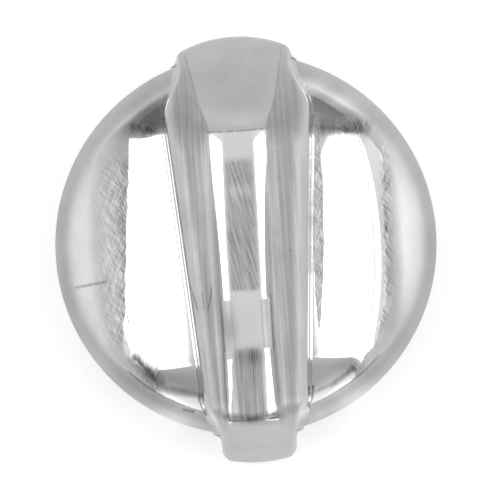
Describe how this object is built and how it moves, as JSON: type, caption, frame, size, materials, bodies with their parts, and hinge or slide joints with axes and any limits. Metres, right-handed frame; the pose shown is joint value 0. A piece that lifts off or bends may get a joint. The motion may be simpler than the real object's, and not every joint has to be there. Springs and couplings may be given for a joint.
{
  "type": "oven control knob",
  "caption": "Round cast-metal appliance control knob with a raised tapered grip bar between finger scoops, and a D-shaft insert in its hollow back.",
  "frame": {"origin": "on the shaft axis, at the mouth of the shaft bore, in the plane of the back rim", "axes": "+Z along the shaft axis towards the user, +Y along the grip bar towards its wide end"},
  "size_m": [0.054, 0.0599, 0.022],
  "materials": {
    "polished_casting": "polished, with satin shoulder ring and end facets",
    "insert_nylon": "moulded, matt",
    "clip_steel": "bright spring steel"
  },
  "bodies": {
    "root": {"knob_body": "polished_casting", "stem_insert": "insert_nylon", "spring_clip": "clip_steel"}
  },
  "joints": []
}
